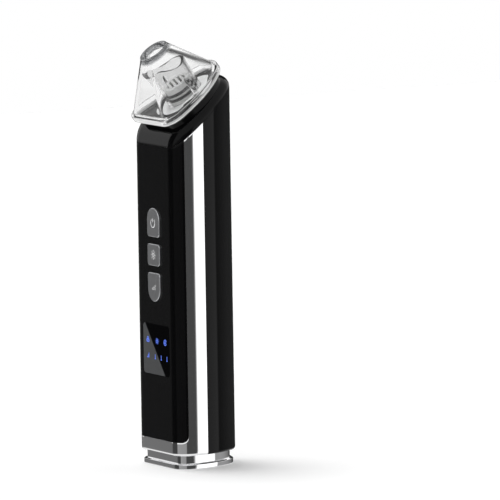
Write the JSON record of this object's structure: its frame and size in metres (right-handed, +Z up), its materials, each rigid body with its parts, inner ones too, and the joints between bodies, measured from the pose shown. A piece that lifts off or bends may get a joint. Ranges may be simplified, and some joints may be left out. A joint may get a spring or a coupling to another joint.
{
  "type": "blackhead vacuum extractor",
  "caption": "Handheld skin-pore suction device: upright D-section body with black front, chrome band and foot, small screen, keys, and a sloping clear suction hood.",
  "frame": {"origin": "centre of the foot's underside, on the ground", "axes": "+Z up along the body; the front face with its screen and keys looks to -Y; +X to the right as seen from the front"},
  "size_m": [0.0406, 0.0416, 0.1898],
  "materials": {
    "gloss_black": "gloss",
    "chrome_trim": "polished",
    "button_silver": "satin",
    "display_glass": "gloss",
    "display_light": "lit",
    "clear_plastic": "clear gloss",
    "white_plastic": "satin",
    "black_plastic": "matte",
    "soft_rubber": "matte",
    "silicone_hose": "satin",
    "circuit_board": "satin",
    "steel": "satin",
    "sintered_bronze": "satin",
    "ferrite": "matte",
    "filter_foam": "open-cell",
    "battery_wrap": "wrapped"
  },
  "bodies": {
    "body": {"back_shell": "gloss_black", "base_screws": "steel", "battery_cell": "battery_wrap", "battery_tabs": "steel", "board_screws": "steel", "casing_screws": "steel", "chassis": "white_plastic", "diaphragm": "soft_rubber", "display_icons": "display_light", "display_module": "black_plastic", "display_window": "display_glass", "foot": "chrome_trim", "foot_pad": "soft_rubber", "front_cover": "gloss_black", "light_board": "circuit_board", "light_pipes": "clear_plastic", "main_pcb": "circuit_board", "mid_frame": "chrome_trim", "motor_brushes": "ferrite", "motor_bushes": "sintered_bronze", "motor_can": "steel", "motor_damper": "soft_rubber", "motor_end_cap": "black_plastic", "motor_magnets": "ferrite", "port_gasket": "soft_rubber", "port_o_rings": "soft_rubber", "pump_body": "white_plastic", "pump_cover": "white_plastic", "pump_screws": "steel", "socket_board": "circuit_board", "suction_hose": "silicone_hose", "suction_port": "white_plastic", "swash_plate": "white_plastic", "tact_switches": "black_plastic", "top_collar": "gloss_black", "usb_socket": "steel", "valve_plate": "white_plastic"},
    "head": {"suction_hood": "clear_plastic", "head_tube": "clear_plastic", "head_clips": "clear_plastic", "head_seal": "soft_rubber"},
    "filter": {"filter_cap": "white_plastic", "filter_sponge": "filter_foam"},
    "power_key": {"power_button": "button_silver", "power_stem": "black_plastic"},
    "light_key": {"light_button": "button_silver", "light_stem": "black_plastic"},
    "mode_key": {"mode_button": "button_silver", "mode_stem": "black_plastic"},
    "rotor": {"motor_shaft": "steel", "motor_armature": "steel", "commutator": "sintered_bronze", "pump_crank": "black_plastic"}
  },
  "joints": [
    {"name": "head_pull", "type": "slide", "parent": "body", "child": "head", "axis": [0, -0.5976, 0.8018], "range_m": [0, 0.02]},
    {"name": "filter_pull", "type": "slide", "parent": "body", "child": "filter", "axis": [0, -0.5976, 0.8018], "range_m": [0, 0.007]},
    {"name": "power_press", "type": "slide", "parent": "body", "child": "power_key", "axis": [0, 1, 0], "range_m": [0, 0.0003], "stiffness_N_per_m": 600, "springref_m": -0.0015},
    {"name": "light_press", "type": "slide", "parent": "body", "child": "light_key", "axis": [0, 1, 0], "range_m": [0, 0.0003], "stiffness_N_per_m": 600, "springref_m": -0.0015},
    {"name": "mode_press", "type": "slide", "parent": "body", "child": "mode_key", "axis": [0, 1, 0], "range_m": [0, 0.0003], "stiffness_N_per_m": 600, "springref_m": -0.0015},
    {"name": "rotor_spin", "type": "hinge", "parent": "body", "child": "rotor", "pos_m": [0, 0.0016, 0.1], "axis": [0, 0, 1], "continuous": true}
  ]
}
